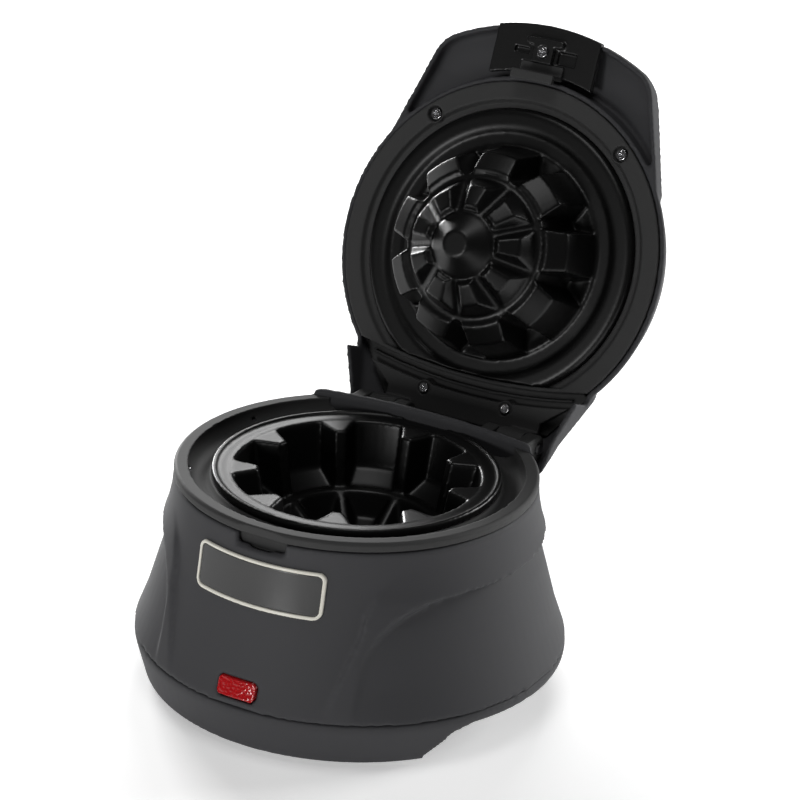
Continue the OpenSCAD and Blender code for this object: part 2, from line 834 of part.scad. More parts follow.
module upper_plate() {
  color([0.1, 0.1, 0.105])
  swing_open()
  difference() {
    union() {
      translate([0, 0, rim_z]) waffle_form();
      in_front_of(liner_back - 2.3)
        translate([0, 0, rim_z]) rotate_extrude($fn = 180)
          polygon([[40, 1.1], [60, 1.1], [60.8, 0.4], [62, -0.2], [63.5, -0.5], [69, -0.5],
            [70.6, -0.1], [71.8, 1.2], [71.8, plate_top], [40, plate_top]]);
    }
    translate([0, 0, rim_z]) rotate_extrude($fn = 144)
      polygon([[0, 5 - dome_depth], [6, 5 - dome_depth], [13, -37], [33, -22.5], [37.4, -2],
        [37.4, 10], [0, 10]]);
    plate_screw_places() translate([0, 0, 1.2]) screw_hole(10);
  }
}

module upper_heater() {
  color([0.55, 0.53, 0.5])
  swing_open() {
    translate([0, 0, rim_z - 9.5]) torus(31, 3.4);
    both_sides() translate([6, heater_end_y, rim_z - 8]) cylinder(r = 2.2, h = 16, $fn = 32);
  }
}

module upper_heat_shield() {
  color([0.75, 0.75, 0.76])
  swing_open()
  difference() {
    rotate_extrude($fn = 120)
      polygon([[56, rim_z + plate_top], [58, rim_z + plate_top], [58, rim_z + 13.8],
        [0, rim_z + 13.8], [0, rim_z + 13], [57.2, rim_z + 13], [57.2, rim_z + plate_top + 0.8],
        [56, rim_z + plate_top + 0.8]]);
    both_sides() translate([6, heater_end_y, rim_z]) cylinder(r = 3.4, h = 20);
  }
}

module upper_plate_screws() {
  color([0.7, 0.7, 0.72])
  swing_open() plate_screw_places() translate([0, 0, lip_top]) screw(4);
}

module upper_leads() {
  color([0.8, 0.2, 0.15])
  swing_open() both_sides() {
    translate([6, heater_end_y, rim_z + 8]) cylinder(r = 1.3, h = 12, $fn = 24);
    translate([6, heater_end_y, rim_z + 20]) sphere(1.3, $fn = 24);
    translate([6, heater_end_y, rim_z + 20]) rotate([-90, 0, 0]) cylinder(r = 1.3, h = 40, $fn = 24);
  }
}

module hinge_bracket() {
  color([0.14, 0.14, 0.15])
  swing_open()
  difference() {
    union() {
      behind(bracket_front)
        translate([0, 0, rim_z + bracket_low]) linear_extrude(bracket_top - bracket_low)
          polygon([[-57, 60], [57, 60], [57, 65.5], [lug_out, 77], [lug_out, bracket_end_y],
            [-lug_out, bracket_end_y], [-lug_out, 77], [-57, 65.5]]);
      // collars round the screws
      both_sides() translate([bracket_screw_x, bracket_screw_y, rim_z + bracket_low])
        cylinder(r = bracket_well_r + 0.8, h = bracket_top - bracket_low);
      both_sides() along_x(lug_in, lug_out) translate([hinge_y, hinge_z]) {
        circle(lug_r, $fn = 64);
        polygon([[0, 0], [-lug_r, 0], [-lug_r, hinge_drop + bracket_low + 1],
          [bracket_end_y - hinge_y, hinge_drop + bracket_low + 1], [lug_r * 0.78, lug_r * 0.62]]);
      }
      // spacers up to the liner
      both_sides() translate([36, 78, rim_z + bracket_top - tip_cut])
        cylinder(r = 3, h = lip_top - bracket_top + tip_cut);
    }
    translate([-60, hinge_y, hinge_z]) rotate([0, 90, 0])
      cylinder(r = pin_d / 2 + pin_clearance, h = 120, $fn = 64);
    both_sides() translate([bracket_screw_x, bracket_screw_y, rim_z]) {
      screw_hole(16);
      cylinder(r = bracket_well_r, h = bracket_low + 1.2);
    }
  }
}

module bracket_screws() {
  color([0.7, 0.7, 0.72])
  swing_open() both_sides()
    translate([bracket_screw_x, bracket_screw_y, rim_z + bracket_low + 1.2])
      rotate([180, 0, 0]) screw(5, bracket_head_r);
}

module liner_screws() {
  color([0.7, 0.7, 0.72])
  swing_open() both_sides()
    translate([liner_screw_x, liner_screw_y, rim_z + liner_head_z]) rotate([180, 0, 0]) screw(8);
}

// ---- latch, drawn closed with the lid ----

module latch_pin() {
  color([0.75, 0.75, 0.77])
  swing_open()
  translate([-arm_out, latch_y, rim_z + latch_z]) rotate([0, 90, 0])
    cylinder(r = latch_pin_r, h = 2 * arm_out, $fn = 32);
}

module latch_lever() {
  color([0.06, 0.06, 0.065])
  swing_open()
  difference() {
    union() {
      intersection() {
        rotate_extrude($fn = 180)
          polygon([[91, rim_z + 1], [handle_r + 0.6, rim_z + 1], [handle_r + 0.6, rim_z + 5],
            [91, rim_z + 5]]);
        translate([-lever_half, -reach, rim_z]) cube([2 * lever_half, reach - 60, 20]);
      }
      both_sides() along_x(13, 20.5) {
        translate([latch_y, rim_z + latch_z]) circle(3, $fn = 48);
        translate([latch_y - 3, rim_z + 3]) square([6, latch_z - 3]);
      }
      // raised boss of the hook screw with its cross bar
      translate([-5.5, latch_screw_y - 3.5, rim_z - 2.5]) cube([11, 9, 4]);
      translate([0, latch_screw_y - 5, rim_z - 2.5]) linear_extrude(4) rounded_box_2d(20, 3.6, 1.6);
    }
    translate([-30, latch_y, rim_z + latch_z]) rotate([0, 90, 0])
      cylinder(r = latch_pin_r + 0.05, h = 60, $fn = 32);
    translate([0, latch_screw_y, rim_z - 5]) screw_hole(9);
    translate([0, latch_screw_y, rim_z - 3]) cylinder(r = 3, h = 1.7);
    // room for the arms of the lid shell
    both_sides() translate([arm_in - 0.3, latch_y - 4.2, rim_z + 2.5])
      cube([arm_out - arm_in + 0.6, 8.4, 5]);
    // open slots either side of the boss
    translate([7, latch_screw_y - 2, rim_z]) cube([10, 6.5, 3]);
    translate([-17, latch_screw_y - 1, rim_z]) cube([8, 3, 3]);
    // seat of the hook and of the arm that the screw holds
    translate([-hook_half - 0.15, hook_y - 5.1, rim_z]) cube([2 * hook_half + 0.3, 9, 2.3]);
    translate([-4.1, latch_screw_y - 4.1, rim_z + 1.5]) cube([8.2, 10.9, 1.5]);
    // room for the spring
    translate([-4.5, latch_y - 3.2, rim_z + 3.4]) cube([9, 8, 3]);
  }
}

module latch_hook() {
  color([0.14, 0.14, 0.15])
  swing_open() {
    translate([-hook_half, hook_y - 5, rim_z + 0.2]) cube([2 * hook_half, 7, 2]);
    difference() {
      translate([-4, latch_screw_y - 4, rim_z + 1.5]) cube([8, 10.5, 1.4]);
      translate([0, latch_screw_y, rim_z]) screw_hole(5);
    }
    translate([-hook_half, hook_y, rim_z - hook_drop]) cube([2 * hook_half, 2, hook_drop + 1]);
    translate([-hook_half, hook_y, rim_z - hook_drop]) cube([2 * hook_half, 4.6, 2.6]);
  }
}

module latch_screw() {
  color([0.7, 0.7, 0.72])
  swing_open()
  translate([0, latch_screw_y, rim_z - 1.3]) rotate([180, 0, 0]) screw(5);
}

// Torsion spring wound round the latch pin, with one leg up to the lid shell
module latch_spring() {
  color([0.7, 0.7, 0.72])
  swing_open()
  translate([0, latch_y, rim_z + latch_z]) {
    for (i = [-3:3])
      translate([i * 0.95, 0, 0]) rotate([0, 90, 0])
        rotate_extrude($fn = 48) translate([2.1, 0]) circle(0.5, $fn = 24);
    translate([0, 2.1, 0]) cylinder(r = 0.5, h = 5.5, $fn = 24);
  }
}

base_housing();
rim_ring();
bottom_cover();
rubber_feet();
base_screws();
lower_plate();
lower_heater();
lower_heat_shield();
shield_screws();
thermostat();
thermal_fuse();
terminal_block();
terminal_screws();
lower_leads();
cord_gland();
badge_frame();
badge_panel();
indicator_lens();
indicator_lamp();
latch_catch();
hinge_block();
hinge_block_screws();
hinge_pin();
lid_shell();
lid_liner();
upper_plate();
upper_heater();
upper_heat_shield();
upper_plate_screws();
upper_leads();
hinge_bracket();
bracket_screws();
liner_screws();
latch_pin();
latch_spring();
latch_lever();
latch_hook();
latch_screw();
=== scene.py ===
import json
import math

import bpy
from mathutils import Matrix, Vector

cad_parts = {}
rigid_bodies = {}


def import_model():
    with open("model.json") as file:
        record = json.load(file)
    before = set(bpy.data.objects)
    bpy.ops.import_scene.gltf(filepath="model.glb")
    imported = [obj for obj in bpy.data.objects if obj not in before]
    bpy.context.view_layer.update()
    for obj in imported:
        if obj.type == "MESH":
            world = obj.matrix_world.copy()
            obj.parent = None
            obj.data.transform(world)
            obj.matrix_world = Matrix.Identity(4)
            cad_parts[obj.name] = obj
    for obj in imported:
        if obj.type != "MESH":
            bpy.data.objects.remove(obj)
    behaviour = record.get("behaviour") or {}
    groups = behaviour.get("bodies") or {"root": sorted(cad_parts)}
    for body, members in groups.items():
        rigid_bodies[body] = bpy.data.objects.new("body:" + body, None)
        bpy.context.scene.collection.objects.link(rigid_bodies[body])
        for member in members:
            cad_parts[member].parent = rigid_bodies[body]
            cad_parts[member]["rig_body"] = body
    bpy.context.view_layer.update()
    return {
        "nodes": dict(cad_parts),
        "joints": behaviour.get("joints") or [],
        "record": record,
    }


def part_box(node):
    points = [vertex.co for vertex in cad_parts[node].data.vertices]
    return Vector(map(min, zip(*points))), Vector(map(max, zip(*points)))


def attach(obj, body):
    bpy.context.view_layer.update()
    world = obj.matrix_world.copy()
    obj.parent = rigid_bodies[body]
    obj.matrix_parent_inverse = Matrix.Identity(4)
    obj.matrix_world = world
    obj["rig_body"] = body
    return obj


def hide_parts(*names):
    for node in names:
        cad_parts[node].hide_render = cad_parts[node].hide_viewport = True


bl_info = {
    "name": "Waffle bowl maker",
    "version": (1, 0, 0),
    "blender": (4, 5, 0),
    "location": "View3D > Sidebar > Waffle Bowl Maker",
    "description": "Builds the looks of a waffle bowl maker around its CAD frame",
    "category": "Object",
}

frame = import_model()

MM = 0.001

# Places that the frame gives: the hinge axis and the height of the rim
LID_JOINT = next(joint for joint in frame["joints"] if joint["name"] == "lid_hinge")
HINGE = Vector(LID_JOINT["pos_m"])
RIM_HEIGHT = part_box("rim_ring")[1].z


# How far the paler edges, partly worn by rubbing and partly a painted highlight, and the tarnish change the
# colour below them
EDGE_WEAR_AND_HIGHLIGHT_SHADE = 4.0
TARNISH_SHADE = 0.6


# ---- settings a user would change ----


class ShapeSettings(bpy.types.PropertyGroup):
    drum_to_hinge: bpy.props.FloatProperty(
        name="Drum to hinge", description="From the drum's own axis back to the hinge pin",
        default=88 * MM, unit="LENGTH")
    housing_grid: bpy.props.FloatProperty(
        name="Housing grid", description="Mesh spacing of the drum housing",
        default=1.25 * MM, unit="LENGTH")
    shell_grid: bpy.props.FloatProperty(
        name="Shell grid", description="Mesh spacing of the lid shell and the bottom cover",
        default=1.15 * MM, unit="LENGTH")
    bowl_grid: bpy.props.FloatProperty(
        name="Bowl grid", description="Mesh spacing of the lower plate",
        default=0.96 * MM, unit="LENGTH")
    dome_grid: bpy.props.FloatProperty(
        name="Dome grid", description="Mesh spacing of the upper plate",
        default=0.86 * MM, unit="LENGTH")
    liner_grid: bpy.props.FloatProperty(
        name="Liner grid", description="Mesh spacing of the rim ring and the lid liner",
        default=0.6 * MM, unit="LENGTH")
    fitting_grid: bpy.props.FloatProperty(
        name="Fitting grid", description="Mesh spacing of the latch and hinge fittings",
        default=0.55 * MM, unit="LENGTH")
    trim_grid: bpy.props.FloatProperty(
        name="Trim grid", description="Mesh spacing of the badge and the lens",
        default=0.35 * MM, unit="LENGTH")
    screw_grid: bpy.props.FloatProperty(
        name="Screw grid", description="Mesh spacing of the screws",
        default=0.16 * MM, unit="LENGTH")
    pebble_size: bpy.props.FloatProperty(
        name="Pebble size", description="Size of the pebbles moulded into the lens",
        default=1.5 * MM, unit="LENGTH")
    pebble_height: bpy.props.FloatProperty(
        name="Pebble height", description="Height of the pebbles on the lens",
        default=0.22 * MM, unit="LENGTH")


class FinishSettings(bpy.types.PropertyGroup):
    shell_colour: bpy.props.FloatVectorProperty(
        name="Shell colour", description="Satin charcoal plastic of housing and lid",
        subtype="COLOR", size=3, min=0, max=1, default=(0.0072, 0.0068, 0.0080))
    liner_colour: bpy.props.FloatVectorProperty(
        name="Liner colour", description="Satin black plastic of rings, liner and hinge",
        subtype="COLOR", size=3, min=0, max=1, default=(0.0055, 0.0055, 0.0057))
    plate_colour: bpy.props.FloatVectorProperty(
        name="Plate colour", description="Black non-stick coating of the waffle plates",
        subtype="COLOR", size=3, min=0, max=1, default=(0.0075, 0.0075, 0.0078))
    badge_colour: bpy.props.FloatVectorProperty(
        name="Badge frame colour", description="Cream frame round the blank badge",
        subtype="COLOR", size=3, min=0, max=1, default=(0.84, 0.81, 0.69))
    lens_colour: bpy.props.FloatVectorProperty(
        name="Lens colour", description="Red of the indicator lens",
        subtype="COLOR", size=3, min=0, max=1, default=(0.15, 0.002, 0.005))


class StageSettings(bpy.types.PropertyGroup):
    azimuth: bpy.props.FloatProperty(
        name="Camera azimuth", description="How far the camera stands to the right of the front",
        default=math.radians(28.8), subtype="ANGLE")
    elevation: bpy.props.FloatProperty(
        name="Camera elevation", description="How far the camera looks down",
        default=math.radians(23.15), subtype="ANGLE")
    roll: bpy.props.FloatProperty(
        name="Camera roll", description="Turn of the camera about its own axis",
        default=math.radians(2.8), subtype="ANGLE")
    distance: bpy.props.FloatProperty(
        name="Camera distance", description="From the camera to the plane of the rim centre",
        default=1.517, unit="LENGTH")
    lens: bpy.props.FloatProperty(
        name="Focal length", description="Focal length on a 36 mm sensor", default=145.3)
    aim_right: bpy.props.FloatProperty(
        name="Aim right", description="How far right of the rim centre the camera aims",
        default=20.1 * MM, unit="LENGTH")
    aim_up: bpy.props.FloatProperty(
        name="Aim up", description="How far above the rim centre the camera aims",
        default=30.2 * MM, unit="LENGTH")
    floor_radius: bpy.props.FloatProperty(
        name="Floor radius", description="Radius of the round pale floor",
        default=1.3, unit="LENGTH")
    floor_glow: bpy.props.FloatProperty(
        name="Floor glow", description="Light given off by the pale floor", default=0.40)
    room_light: bpy.props.FloatProperty(
        name="Room light", description="Even light from all round", default=0.04)


def shape():
    return bpy.context.scene.waffle_shape


def finish():
    return bpy.context.scene.waffle_finish


# ---- mesh helpers ----


def drum_centre(height=0.0):
    """A point on the drum's axis, this far above the table."""
    return Vector((HINGE.x, HINGE.y - shape().drum_to_hinge, height))


def pick(piece):
    """Makes this the only selected object and the active one."""
    bpy.ops.object.select_all(action="DESELECT")
    piece.select_set(True)
    bpy.context.view_layer.objects.active = piece


def finish_with(piece, kind, **values):
    """Adds a modifier with these values and applies it."""
    pick(piece)
    bpy.ops.object.modifier_add(type=kind)
    modifier = piece.modifiers[-1]
    for key, value in values.items():
        setattr(modifier, key, value)
    bpy.ops.object.modifier_apply(modifier=modifier.name)


def merge_doubles(piece, distance=0.01 * MM):
    pick(piece)
    bpy.ops.object.mode_set(mode="EDIT")
    bpy.ops.mesh.select_all(action="SELECT")
    bpy.ops.mesh.remove_doubles(threshold=distance)
    bpy.ops.object.mode_set(mode="OBJECT")


def copy_of_node(node, name):
    """A free copy of a CAD node, with its loose triangles joined up."""
    source = frame["nodes"][node]
    piece = bpy.data.objects.new(name, source.data.copy())
    bpy.context.scene.collection.objects.link(piece)
    piece.data.materials.clear()
    merge_doubles(piece)
    return piece


def moulded_copy(node, name, grid, passes):
    """A copy of a CAD node with the soft edges of a moulding or casting."""
    piece = copy_of_node(node, name)
    finish_with(piece, "REMESH", mode="VOXEL", voxel_size=grid, adaptivity=0.0, use_smooth_shade=True)
    finish_with(piece, "SMOOTH", factor=0.5, iterations=passes)
    return piece


def hand_over(piece, body, slot, material, *nodes):
    """Gives a finished piece its material, its body and the CAD nodes it stands for."""
    piece.data.materials.clear()
    piece.data.materials.append(material)
    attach(piece, body)
    if nodes:
        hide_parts(*nodes)


# ---- shader helpers and shared node groups ----


class Nodes:
    """Adds nodes to a tree from left to right and links them."""

    def __init__(self, tree):
        self.tree = tree
        self.column = 0

    def add(self, kind, **inputs):
        node = self.tree.nodes.new(kind)
        self.column += 1
        node.location = (self.column * 200, -(self.column % 3) * 160)
        for key, value in inputs.items():
            self.feed(node.inputs[key.replace("_", " ")], value)
        return node

    def feed(self, socket, value):
        if isinstance(value, bpy.types.NodeSocket):
            self.tree.links.new(value, socket)
        else:
            socket.default_value = value

    def math(self, operation, first, second):
        node = self.add("ShaderNodeMath")
        node.operation = operation
        self.feed(node.inputs[0], first)
        self.feed(node.inputs[1], second)
        return node.outputs[0]

    def mix_colour(self, factor, first, second):
        node = self.add("ShaderNodeMix")
        node.data_type = "RGBA"
        self.feed(node.inputs["Factor"], factor)
        self.feed(node.inputs["A"], first)
        self.feed(node.inputs["B"], second)
        return node.outputs["Result"]

    def remap(self, value, low, high, to_low, to_high):
        node = self.add("ShaderNodeMapRange")
        for key, number in (("Value", value), ("From Min", low), ("From Max", high),
                            ("To Min", to_low), ("To Max", to_high)):
            self.feed(node.inputs[key], number)
        return node.outputs["Result"]

    def noise(self, size, detail=2.0, stretch=(1, 1, 1)):
        """Noise on Object coordinates whose blobs are about this size in metres."""
        place = self.add("ShaderNodeTexCoord")
        mapping = self.add("ShaderNodeMapping", Vector=place.outputs["Object"], Scale=stretch)
        scale = self.math("DIVIDE", 1.0, size)
        texture = self.add("ShaderNodeTexNoise", Vector=mapping.outputs["Vector"], Scale=scale)
        texture.inputs["Detail"].default_value = detail
        return texture.outputs["Fac"]


def new_group(name, inputs, outputs):
    """A shader node group with these named sockets, and the nodes of its two ends."""
    group = bpy.data.node_groups.new(name, "ShaderNodeTree")
    kinds = {float: "NodeSocketFloat", tuple: "NodeSocketColor"}
    for label, default in inputs.items():
        socket = group.interface.new_socket(name=label, in_out="INPUT", socket_type=kinds[type(default)])
        socket.default_value = default
    for label, kind in outputs.items():
        group.interface.new_socket(name=label, in_out="OUTPUT", socket_type=kinds[kind])
    nodes = Nodes(group)
    return group, nodes, nodes.add("NodeGroupInput").outputs, nodes.add("NodeGroupOutput").inputs


def build_moulded_surface():
    """Fine mould grain, and slow changes of sheen and shade from handling."""
    group, nodes, given, out = new_group(
        "Moulded Surface",
        {"Light Colour": (0.05, 0.05, 0.05, 1), "Dark Colour": (0.03, 0.03, 0.03, 1),
         "Grain Size": 0.0005, "Patch Size": 0.04, "Smooth Roughness": 0.3, "Rough Roughness": 0.5},
        {"Colour": tuple, "Roughness": float, "Grain": float})
    grain = nodes.noise(given["Grain Size"], detail=3.0)
    patch = nodes.noise(given["Patch Size"], detail=4.0)
    spread_patch = nodes.remap(patch, 0.3, 0.7, 0.0, 1.0)
    blend = nodes.math("ADD", nodes.math("MULTIPLY", spread_patch, 0.7), nodes.math("MULTIPLY", grain, 0.3))
    nodes.feed(out["Colour"], nodes.mix_colour(blend, given["Dark Colour"], given["Light Colour"]))
    nodes.feed(out["Roughness"], nodes.remap(
        blend, 0.0, 1.0, given["Smooth Roughness"], given["Rough Roughness"]))
    nodes.feed(out["Grain"], grain)
    return group


def build_worn_and_highlighted_edges():
    """A mask of the edges and corners that hands and tools rub first, also used to paint a highlight along
    them.
    """
    group, nodes, given, out = new_group(
        "Worn And Highlighted Edges", {"Start": 0.52, "Full": 0.6, "Patch Size": 0.01}, {"Mask": float})
    shape_node = nodes.add("ShaderNodeNewGeometry")
    edge = nodes.remap(shape_node.outputs["Pointiness"], given["Start"], given["Full"], 0.0, 1.0)
    patch = nodes.remap(nodes.noise(given["Patch Size"]), 0.35, 0.65, 0.4, 1.0)
    nodes.feed(out["Mask"], nodes.math("MULTIPLY", edge, patch))
    return group


def build_drawn_metal():
    """Fine drawn lines and uneven polish of turned and rolled metal."""
    group, nodes, given, out = new_group(
        "Drawn Metal",
        {"Line Size": 0.0004, "Smooth Roughness": 0.2, "Rough Roughness": 0.4},
        {"Roughness": float, "Lines": float, "Tarnish": float})
    lines = nodes.noise(given["Line Size"], detail=2.0, stretch=(0.08, 1, 1))
    tarnish = nodes.noise(0.006, detail=4.0)
    nodes.feed(out["Roughness"], nodes.remap(
        lines, 0.3, 0.7, given["Smooth Roughness"], given["Rough Roughness"]))
    nodes.feed(out["Lines"], lines)
    nodes.feed(out["Tarnish"], tarnish)
    return group


GROUP_BUILDERS = {
    "Moulded Surface": build_moulded_surface,
    "Worn And Highlighted Edges": build_worn_and_highlighted_edges,
    "Drawn Metal": build_drawn_metal,
}


def place_group(nodes, name, **values):
    """Places a shared group in a material, building the group on first use."""
    group = bpy.data.node_groups.get(name) or GROUP_BUILDERS[name]()
    node = nodes.add("ShaderNodeGroup")
    node.node_tree = group
    for key, value in values.items():
        nodes.feed(node.inputs[key.replace("_", " ")], value)
    return node.outputs


def new_material(name):
    """A material with an empty Principled shader: returns it, its nodes and the shader."""
    material = bpy.data.materials.new(name)
    material.use_nodes = True
    material.node_tree.nodes.clear()
    nodes = Nodes(material.node_tree)
    shader = nodes.add("ShaderNodeBsdfPrincipled")
    out = nodes.add("ShaderNodeOutputMaterial")
    nodes.feed(out.inputs["Surface"], shader.outputs["BSDF"])
    return material, nodes, shader


def shade(colour, factor):
    return tuple(channel * factor for channel in colour) + (1.0,)


def raise_grain(nodes, shader, height, depth):
    bump = nodes.add("ShaderNodeBump", Height=height, Distance=depth, Strength=1.0)
    nodes.feed(shader.inputs["Normal"], bump.outputs["Normal"])


def moulded_material(name, colour, roughness, grain_size, grain_depth, wear_and_edge_highlight=0.25, patch_size=0.035):
    """A moulded or coated surface with grain, uneven sheen and paler edges, partly worn by rubbing and
    partly a painted highlight.
    """
    material, nodes, shader = new_material(name)
    surface = place_group(
        nodes, "Moulded Surface", Light_Colour=shade(colour, 1.12), Dark_Colour=shade(colour, 0.88),
        Grain_Size=grain_size, Patch_Size=patch_size, Smooth_Roughness=roughness[0],
        Rough_Roughness=roughness[1])
    edges = place_group(nodes, "Worn And Highlighted Edges")
    # edges painted paler: partly worn by rubbing, partly a painted highlight along them
    rubbed_and_highlit = nodes.math("MULTIPLY", edges["Mask"], wear_and_edge_highlight)
    paler = nodes.mix_colour(rubbed_and_highlit, surface["Colour"], shade(colour, EDGE_WEAR_AND_HIGHLIGHT_SHADE))
    nodes.feed(shader.inputs["Base Color"], paler)
    nodes.feed(shader.inputs["Roughness"], surface["Roughness"])
    raise_grain(nodes, shader, surface["Grain"], grain_depth)
    return material


def metal_material(name, colour, roughness, line_size=0.4 * MM):
    """Drawn, rolled or turned metal with a little tarnish."""
    material, nodes, shader = new_material(name)
    metal = place_group(
        nodes, "Drawn Metal", Line_Size=line_size, Smooth_Roughness=roughness[0],
        Rough_Roughness=roughness[1])
    dull = nodes.remap(metal["Tarnish"], 0.45, 0.75, 0.0, 0.6)
    nodes.feed(shader.inputs["Base Color"],
               nodes.mix_colour(dull, shade(colour, 1.0), shade(colour, TARNISH_SHADE)))
    nodes.feed(shader.inputs["Roughness"], metal["Roughness"])
    shader.inputs["Metallic"].default_value = 1.0
    raise_grain(nodes, shader, metal["Lines"], 0.01 * MM)
    return material


def lens_material(name, colour):
    """Translucent red plastic, darker in its depth."""
    material, nodes, shader = new_material(name)
    surface = place_group(
        nodes, "Moulded Surface", Light_Colour=shade(colour, 1.25), Dark_Colour=shade(colour, 0.6),
        Grain_Size=1.1 * MM, Patch_Size=4 * MM, Smooth_Roughness=0.38, Rough_Roughness=0.5)
    nodes.feed(shader.inputs["Base Color"], surface["Colour"])
    nodes.feed(shader.inputs["Roughness"], surface["Roughness"])
    shader.inputs["Transmission Weight"].default_value = 0.35
    raise_grain(nodes, shader, surface["Grain"], 0.06 * MM)
    return material


MATERIAL_MAKERS = {
    "shell_plastic": lambda: moulded_material(
        "shell_plastic", finish().shell_colour, (0.25, 0.32), 0.45 * MM, 0.006 * MM),
    "cover_plastic": lambda: moulded_material(
        "cover_plastic", finish().shell_colour, (0.32, 0.40), 0.45 * MM, 0.010 * MM),
    "liner_plastic": lambda: moulded_material(
        "liner_plastic", finish().liner_colour, (0.16, 0.22), 0.4 * MM, 0.003 * MM),
    "gloss_plastic": lambda: moulded_material(
        "gloss_plastic", (0.010, 0.010, 0.0105), (0.10, 0.2), 0.8 * MM, 0.004 * MM, patch_size=0.02),
    "gland_rubber": lambda: moulded_material(
        "gland_rubber", (0.016, 0.016, 0.016), (0.6, 0.75), 0.5 * MM, 0.03 * MM),
    "foot_rubber": lambda: moulded_material(
        "foot_rubber", (0.014, 0.014, 0.014), (0.65, 0.8), 0.5 * MM, 0.03 * MM),
    "nonstick_plate": lambda: moulded_material(
        "nonstick_plate", finish().plate_colour, (0.20, 0.28), 0.35 * MM, 0.005 * MM, wear_and_edge_highlight=0.35),
    "heater_tube": lambda: metal_material("heater_tube", (0.32, 0.30, 0.27), (0.35, 0.55)),
    "shield_sheet": lambda: metal_material("shield_sheet", (0.70, 0.70, 0.71), (0.25, 0.42)),
    "bright_steel": lambda: metal_material("bright_steel", (0.78, 0.77, 0.75), (0.12, 0.25), 0.2 * MM),
    "brass_screw": lambda: metal_material("brass_screw", (0.75, 0.58, 0.28), (0.2, 0.35)),
    "ceramic_white": lambda: moulded_material(
        "ceramic_white", (0.74, 0.71, 0.64), (0.25, 0.4), 0.6 * MM, 0.02 * MM, wear_and_edge_highlight=0.0),
    "fuse_body": lambda: moulded_material(
        "fuse_body", (0.80, 0.79, 0.74), (0.2, 0.3), 0.6 * MM, 0.01 * MM, wear_and_edge_highlight=0.0),
    "lead_sleeve": lambda: moulded_material(
        "lead_sleeve", (0.42, 0.06, 0.04), (0.5, 0.65), 0.4 * MM, 0.03 * MM, wear_and_edge_highlight=0.0),
    "badge_frame_cream": lambda: moulded_material(
        "badge_frame_cream", finish().badge_colour, (0.30, 0.4), 0.5 * MM, 0.006 * MM, wear_and_edge_highlight=0.0),
    "badge_panel_dark": lambda: moulded_material(
        "badge_panel_dark", (0.020, 0.020, 0.021), (0.16, 0.28), 0.6 * MM, 0.01 * MM, patch_size=0.015),
    "red_lens": lambda: lens_material("red_lens", finish().lens_colour),
    "lamp_body": lambda: moulded_material(
        "lamp_body", (0.62, 0.24, 0.14), (0.15, 0.3), 0.8 * MM, 0.02 * MM, wear_and_edge_highlight=0.0),
}


def material_of(slot):
    return bpy.data.materials.get(slot) or MATERIAL_MAKERS[slot]()


def body_of(node):
    return frame["nodes"][node]["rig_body"]


def slot_of(node):
    return next(part["material_slot"] for part in frame["record"]["subparts"] if part["node"] == node)


def mould(node, name, grid, passes):
    """Makes the moulded copy of one CAD node and hands it over in that node's own finish.

    The grid is the spacing of its mesh, and more smoothing passes give softer edges.
    """
    piece = moulded_copy(node, name, grid, passes)
    slot = slot_of(node)
    hand_over(piece, body_of(node), slot, material_of(slot), node)
    return piece


# ---- one operator for each piece or group of like pieces ----


class HousingOperator(bpy.types.Operator):
    """Drum housing with its front apron, side bands and tucked-in side panels"""

    bl_idname = "waffle_maker.housing"
    bl_label = "Housing"

    def execute(self, context):
        mould("base_housing", "drum_housing", shape().housing_grid, passes=5)
        return {"FINISHED"}


class CoverOperator(bpy.types.Operator):
    """Bottom cover with its scoops, feet and cord gland"""

    bl_idname = "waffle_maker.bottom_cover"
    bl_label = "Bottom cover"

    def execute(self, context):
        mould("bottom_cover", "underside_cover", shape().shell_grid, passes=4)
        mould("rubber_feet", "table_feet", shape().fitting_grid, passes=3)
        mould("cord_gland", "cord_entry_gland", shape().fitting_grid, passes=2)
        return {"FINISHED"}


class RimOperator(bpy.types.Operator):
    """Rim ring and baking plate of the drum, with the catch of the latch"""

    bl_idname = "waffle_maker.rim"
    bl_label = "Rim and baking plate"

    def execute(self, context):
        mould("rim_ring", "drip_rim", shape().liner_grid, passes=2)
        mould("lower_plate", "bowl_plate", shape().bowl_grid, passes=2)
        mould("latch_catch", "catch_pocket", shape().fitting_grid, passes=2)
        return {"FINISHED"}


class LidOperator(bpy.types.Operator):
    """Lid shell with its handle wings and hinge tail, and the liner inside it"""

    bl_idname = "waffle_maker.lid"
    bl_label = "Lid shell and liner"

    def execute(self, context):
        mould("lid_shell", "lid_crown", shape().shell_grid, passes=5)
        mould("lid_liner", "lid_inner_ring", shape().liner_grid, passes=2)
        return {"FINISHED"}


class DomeOperator(bpy.types.Operator):
    """Waffle dome of the lid"""

    bl_idname = "waffle_maker.dome"
    bl_label = "Waffle dome"

    def execute(self, context):
        mould("upper_plate", "waffle_dome", shape().dome_grid, passes=2)
        return {"FINISHED"}


class HingeOperator(bpy.types.Operator):
    """Hinge block, hinge bracket and pin"""

    bl_idname = "waffle_maker.hinge"
    bl_label = "Hinge"

    def execute(self, context):
        mould("hinge_block", "hinge_knuckles", shape().fitting_grid, passes=2)
        mould("hinge_bracket", "hinge_arm", shape().fitting_grid, passes=2)
        return {"FINISHED"}


class LatchOperator(bpy.types.Operator):
    """Latch lever in the handle and its hook"""

    bl_idname = "waffle_maker.latch"
    bl_label = "Latch"

    def execute(self, context):
        mould("latch_lever", "squeeze_lever", shape().fitting_grid * 0.8, passes=2)
        mould("latch_hook", "latch_claw", shape().fitting_grid * 0.8, passes=2)
        return {"FINISHED"}


class ScrewsOperator(bpy.types.Operator):
    """Screws that can be seen, with the cross recess of their heads"""

    bl_idname = "waffle_maker.screws"
    bl_label = "Screws"

    def execute(self, context):
        for node in ("liner_screws", "bracket_screws", "latch_screw", "base_screws", "hinge_block_screws"):
            mould(node, f"{node}_with_cross", shape().screw_grid, passes=2)
        return {"FINISHED"}


